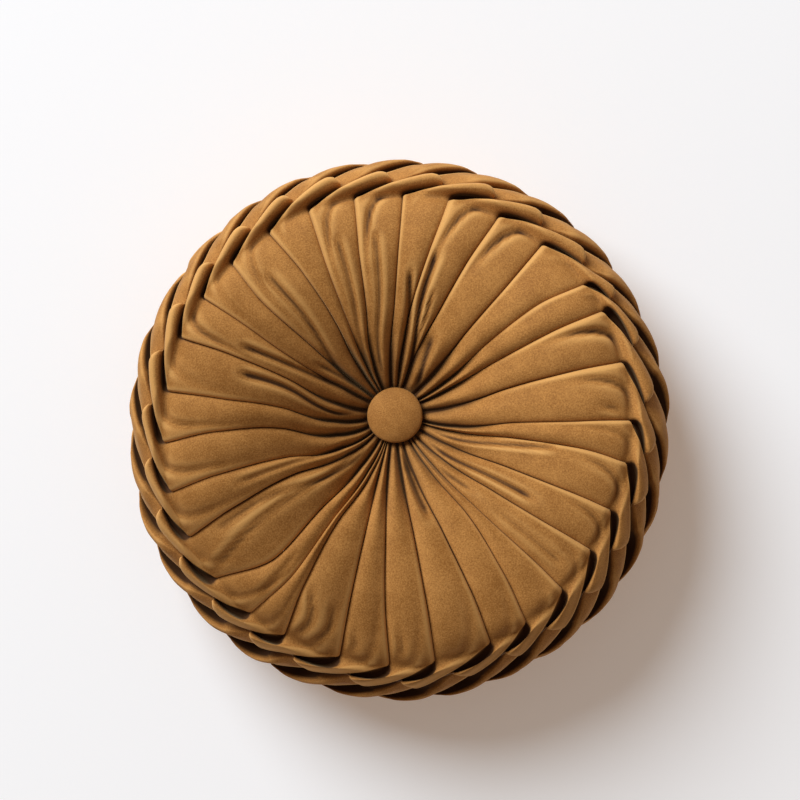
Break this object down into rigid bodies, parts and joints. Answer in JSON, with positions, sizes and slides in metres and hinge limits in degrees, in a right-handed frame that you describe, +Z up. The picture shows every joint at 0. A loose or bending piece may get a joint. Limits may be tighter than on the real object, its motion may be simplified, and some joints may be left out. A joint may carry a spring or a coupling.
{
  "type": "round ruffled cushion",
  "caption": "Round velvet cushion with a smocked side, knife pleats gathered to a covered button on the face and on the back.",
  "frame": {"origin": "on the resting surface, under the middle of the cushion", "axes": "+Z up out of the face, +Y towards the top of the picture, +X to its right"},
  "size_m": [0.3754, 0.3768, 0.1088],
  "materials": {
    "velvet_cover": "short-pile golden brown velvet",
    "velvet_button": "short-pile golden brown velvet stretched over a button mould"
  },
  "bodies": {
    "root": {"cushion": "velvet_cover", "button_top": "velvet_button", "button_back": "velvet_button"}
  },
  "joints": []
}
